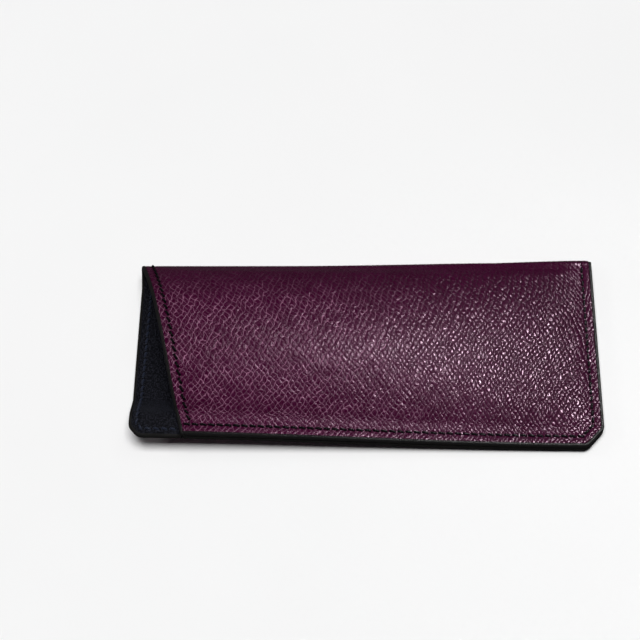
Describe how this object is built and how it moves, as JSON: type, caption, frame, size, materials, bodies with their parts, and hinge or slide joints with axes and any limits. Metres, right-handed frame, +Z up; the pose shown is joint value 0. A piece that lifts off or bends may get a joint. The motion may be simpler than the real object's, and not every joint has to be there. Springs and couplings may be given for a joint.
{
  "type": "soft pouch glasses case",
  "caption": "Slip-in leather sleeve for glasses, folded along one side, stitched along the other and at the closed end, with a slanted lip and a tab.",
  "frame": {"origin": "centre of the bounding box at its base, on the table under the middle of the case", "axes": "+X along the case from the mouth to the closed end, +Y from the sewn side to the fold, +Z up from the table through the back panel and then the front panel"},
  "size_m": [0.1768, 0.0838, 0.025],
  "materials": {
    "pebbled_leather": "pebbled, soft sheen",
    "suede_lining": "napped suede, matt",
    "felt_interlining": "matt felt",
    "sewing_thread": "waxed thread",
    "edge_paint": "satin"
  },
  "bodies": {
    "root": {"outer_leather": "pebbled_leather", "lining": "suede_lining", "front_interlining": "felt_interlining", "back_interlining": "felt_interlining", "mouth_needle_thread": "sewing_thread", "mouth_bobbin_thread": "sewing_thread", "seam_needle_thread": "sewing_thread", "seam_bobbin_thread": "sewing_thread", "mouth_edge_paint": "edge_paint", "seam_edge_paint": "edge_paint"}
  },
  "joints": []
}
